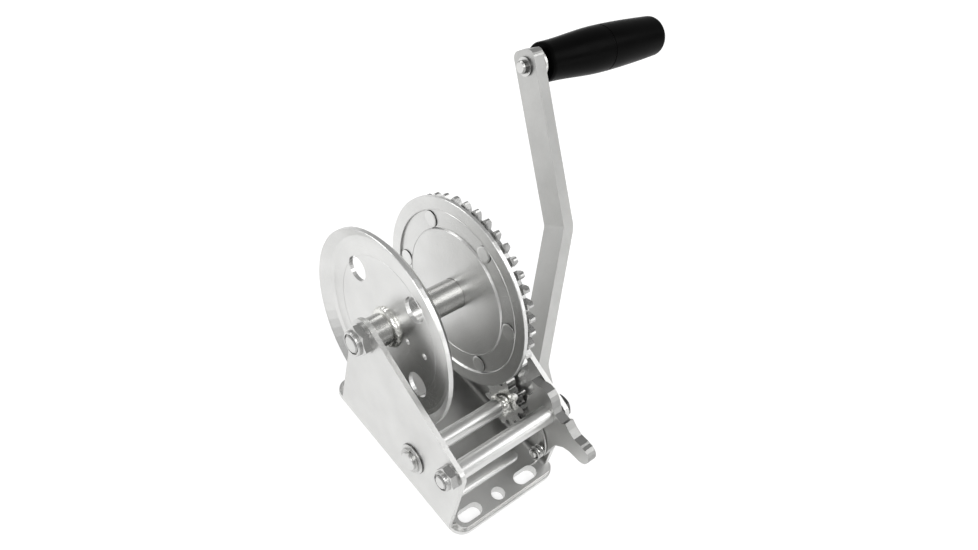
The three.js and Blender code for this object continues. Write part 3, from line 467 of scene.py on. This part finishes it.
def build_crank():
    start, end, radius = span("input_shaft", SHAFT_POINT, X_AXIS)
    shoulder = end - STUD_LENGTH
    corners = [
        (start + 0.3 * MM, 0, 0), (start, radius * 0.6, 0.3 * MM), (start, radius, 0.8 * MM),
        (shoulder, radius, 0.3 * MM), (shoulder, STUD_RADIUS, 0.1 * MM),
        (end, STUD_RADIUS, 0.5 * MM), (end, 0, 0),
    ]
    shaft = revolve(fillet(corners), SHAFT_POINT, sides=SMALL_SIDES * 2)
    piece("crank_shaft", shaft, TUBE, "crank", "zinc_bar", "input_shaft")
    finish_cad("pinion", PINION_STEEL, 0.5)
    finish_cad("shaft_retaining_ring", WIRE, 0.2)
    finish_cad("crank_spacer", FASTENER, 0.4)
    finish_cad("crank_arm", BAR, 0.9)
    finish_cad("grip_washer", FASTENER, 0.3)
    finish_cad("grip_spacer", FASTENER, 0.3)
    finish_cad("grip_rivet", BOLT, 0.4)
    finish_cad("crank_nut", NUT, 0.3)
    build_collar()
    build_grip()


def build_collar():
    """Lumpy weld that fixes the pinion's hub to the shaft."""
    start, end, radius = span("shaft_collar", SHAFT_POINT, X_AXIS)
    profile = [(start, COLLAR_BORE)]
    for k in range(15):
        s = k / 14
        swell = min(1, 0.35 + 1.5 * math.sin(s * math.pi))
        profile.append((start + (end - start) * s, COLLAR_BORE + (radius - COLLAR_BORE) * swell))
    profile.append((end, COLLAR_BORE))

    def lumpy(along, angle, limit):
        if limit < COLLAR_BORE + 0.1 * MM:
            return limit
        place = Vector((along * 260, math.cos(angle) * 1.8, math.sin(angle) * 1.8))
        return limit * (0.92 + 0.17 * noise.noise(place))

    bead = revolve(profile, SHAFT_POINT, sides=ROUND_SIDES, shape=lumpy)
    piece("shaft_weld", bead, WELD, "crank", "weld_bead", "shaft_collar")


def build_grip():
    """Barrel grip with soft ends and a fine parting groove round its middle."""
    start, end, radius = span("grip", GRIP_POINT, GRIP_AXIS)
    seam = start + (end - start) * 0.5
    mouth, groove, lip = 1.6 * MM, 0.3 * MM, 0.7 * MM
    points = [
        (start, GRIP_BORE), (start, 12.4 * MM), (start + 0.4 * MM, 13.4 * MM), (start + mouth, GRIP_WAIST),
    ]
    for k in range(1, GRIP_STEPS):
        s = k / GRIP_STEPS
        ease = 0.5 - 0.5 * math.cos(math.pi * min(1, s * 1.04))
        along = start + mouth + (seam - start - 2.4 * MM) * s
        points.append((along, GRIP_WAIST + (radius - GRIP_WAIST) * ease))
    points += [(seam - lip, radius), (seam - groove, radius - groove)]
    points += [(seam + groove, radius - groove), (seam + lip, radius)]
    for k in range(1, GRIP_STEPS):
        s = k / GRIP_STEPS
        along = seam + lip + (end - seam - GRIP_END_ROUND - lip) * s
        points.append((along, radius + (GRIP_TAIL - radius) * s ** 1.7))
    for k in range(13):
        turn = k / 12 * math.pi / 2
        along = end - GRIP_END_ROUND + GRIP_END_ROUND * math.sin(turn)
        points.append((along, GRIP_TAIL - GRIP_END_ROUND + GRIP_END_ROUND * math.cos(turn)))
    points.append((end, 0))
    grip = revolve(points, GRIP_POINT, GRIP_AXIS)
    piece("grip_moulding", grip, GRIP_BLACK, "handle", "black_plastic", "grip")


# ------------------------------------------------------------------ studio

CAMERA_PLACE = Vector((-289.6, -274.3, 535.0)) * MM
CAMERA_AZIMUTH = -51.85
CAMERA_ELEVATION = 45.05
CAMERA_ROLL = 15.58
LENS_MM = 33.33
SENSOR_MM = 36.0
FLOOR_HALF = 20.0                       # metres
FLOOR_GLOW = 0.68                       # the floor gives off light so that it renders white
WORLD_STRENGTH = 0.48
LIGHT_TARGET = (0, 0, 0.1)
# Name, place and size in metres, and power in watts.
LIGHTS = (
    ("key", (-0.9, -0.5, 1.1), (0.9, 0.6), 7),
    ("fill", (0.9, -0.75, 1.15), (1.0, 0.7), 6),
    ("back", (-0.5, 1.2, 0.9), (0.9, 0.6), 5),
    ("low", (0.9, -1.3, 0.4), (0.7, 0.4), 1.8),
)


def area_light(name, place, size, watts):
    data = bpy.data.lights.new(name, "AREA")
    data.shape = "RECTANGLE"
    data.size, data.size_y = size
    data.energy = watts
    light = bpy.data.objects.new(name, data)
    light.location = place
    light.rotation_mode = "QUATERNION"
    light.rotation_quaternion = (Vector(LIGHT_TARGET) - Vector(place)).to_track_quat("-Z", "Y")
    bpy.context.collection.objects.link(light)


def build_floor():
    mesh = bpy.data.meshes.new("studio_floor")
    level = cad_box[0].z - 0.2 * MM
    corners = [(x * FLOOR_HALF, y * FLOOR_HALF, level) for x, y in ((-1, -1), (1, -1), (1, 1), (-1, 1))]
    mesh.from_pydata(corners, [], [(0, 1, 2, 3)])
    material, _, _, shader = new_material("studio_paper")
    shader.inputs["Base Color"].default_value = (0.5, 0.5, 0.5, 1)
    shader.inputs["Roughness"].default_value = 0.9
    shader.inputs["Emission Color"].default_value = (1, 1, 1, 1)
    shader.inputs["Emission Strength"].default_value = FLOOR_GLOW
    mesh.materials.append(material)
    floor = bpy.data.objects.new("studio_floor", mesh)
    bpy.context.collection.objects.link(floor)


def build_camera():
    azimuth, elevation = math.radians(CAMERA_AZIMUTH), math.radians(CAMERA_ELEVATION)
    back = Vector((math.sin(azimuth) * math.cos(elevation), -math.cos(azimuth) * math.cos(elevation),
                   math.sin(elevation)))
    data = bpy.data.cameras.new("camera")
    data.sensor_width = SENSOR_MM
    data.lens = LENS_MM
    data.clip_start = 0.01
    camera = bpy.data.objects.new("camera", data)
    camera.location = CAMERA_PLACE
    camera.rotation_mode = "QUATERNION"
    level = back.to_track_quat("Z", "Y")
    camera.rotation_quaternion = Matrix.Rotation(math.radians(CAMERA_ROLL), 4, back).to_quaternion() @ level
    bpy.context.collection.objects.link(camera)
    bpy.context.scene.camera = camera


def build_studio():
    build_floor()
    build_camera()
    world = bpy.data.worlds.new("studio")
    world.use_nodes = True
    background = world.node_tree.nodes["Background"]
    background.inputs["Color"].default_value = (1, 1, 1, 1)
    background.inputs["Strength"].default_value = WORLD_STRENGTH
    bpy.context.scene.world = world
    for name, place, size, watts in LIGHTS:
        area_light(name, place, size, watts)
    bpy.context.scene.view_settings.view_transform = "Standard"


build_frame()
build_drum()
build_pawl()
build_crank()
build_studio()
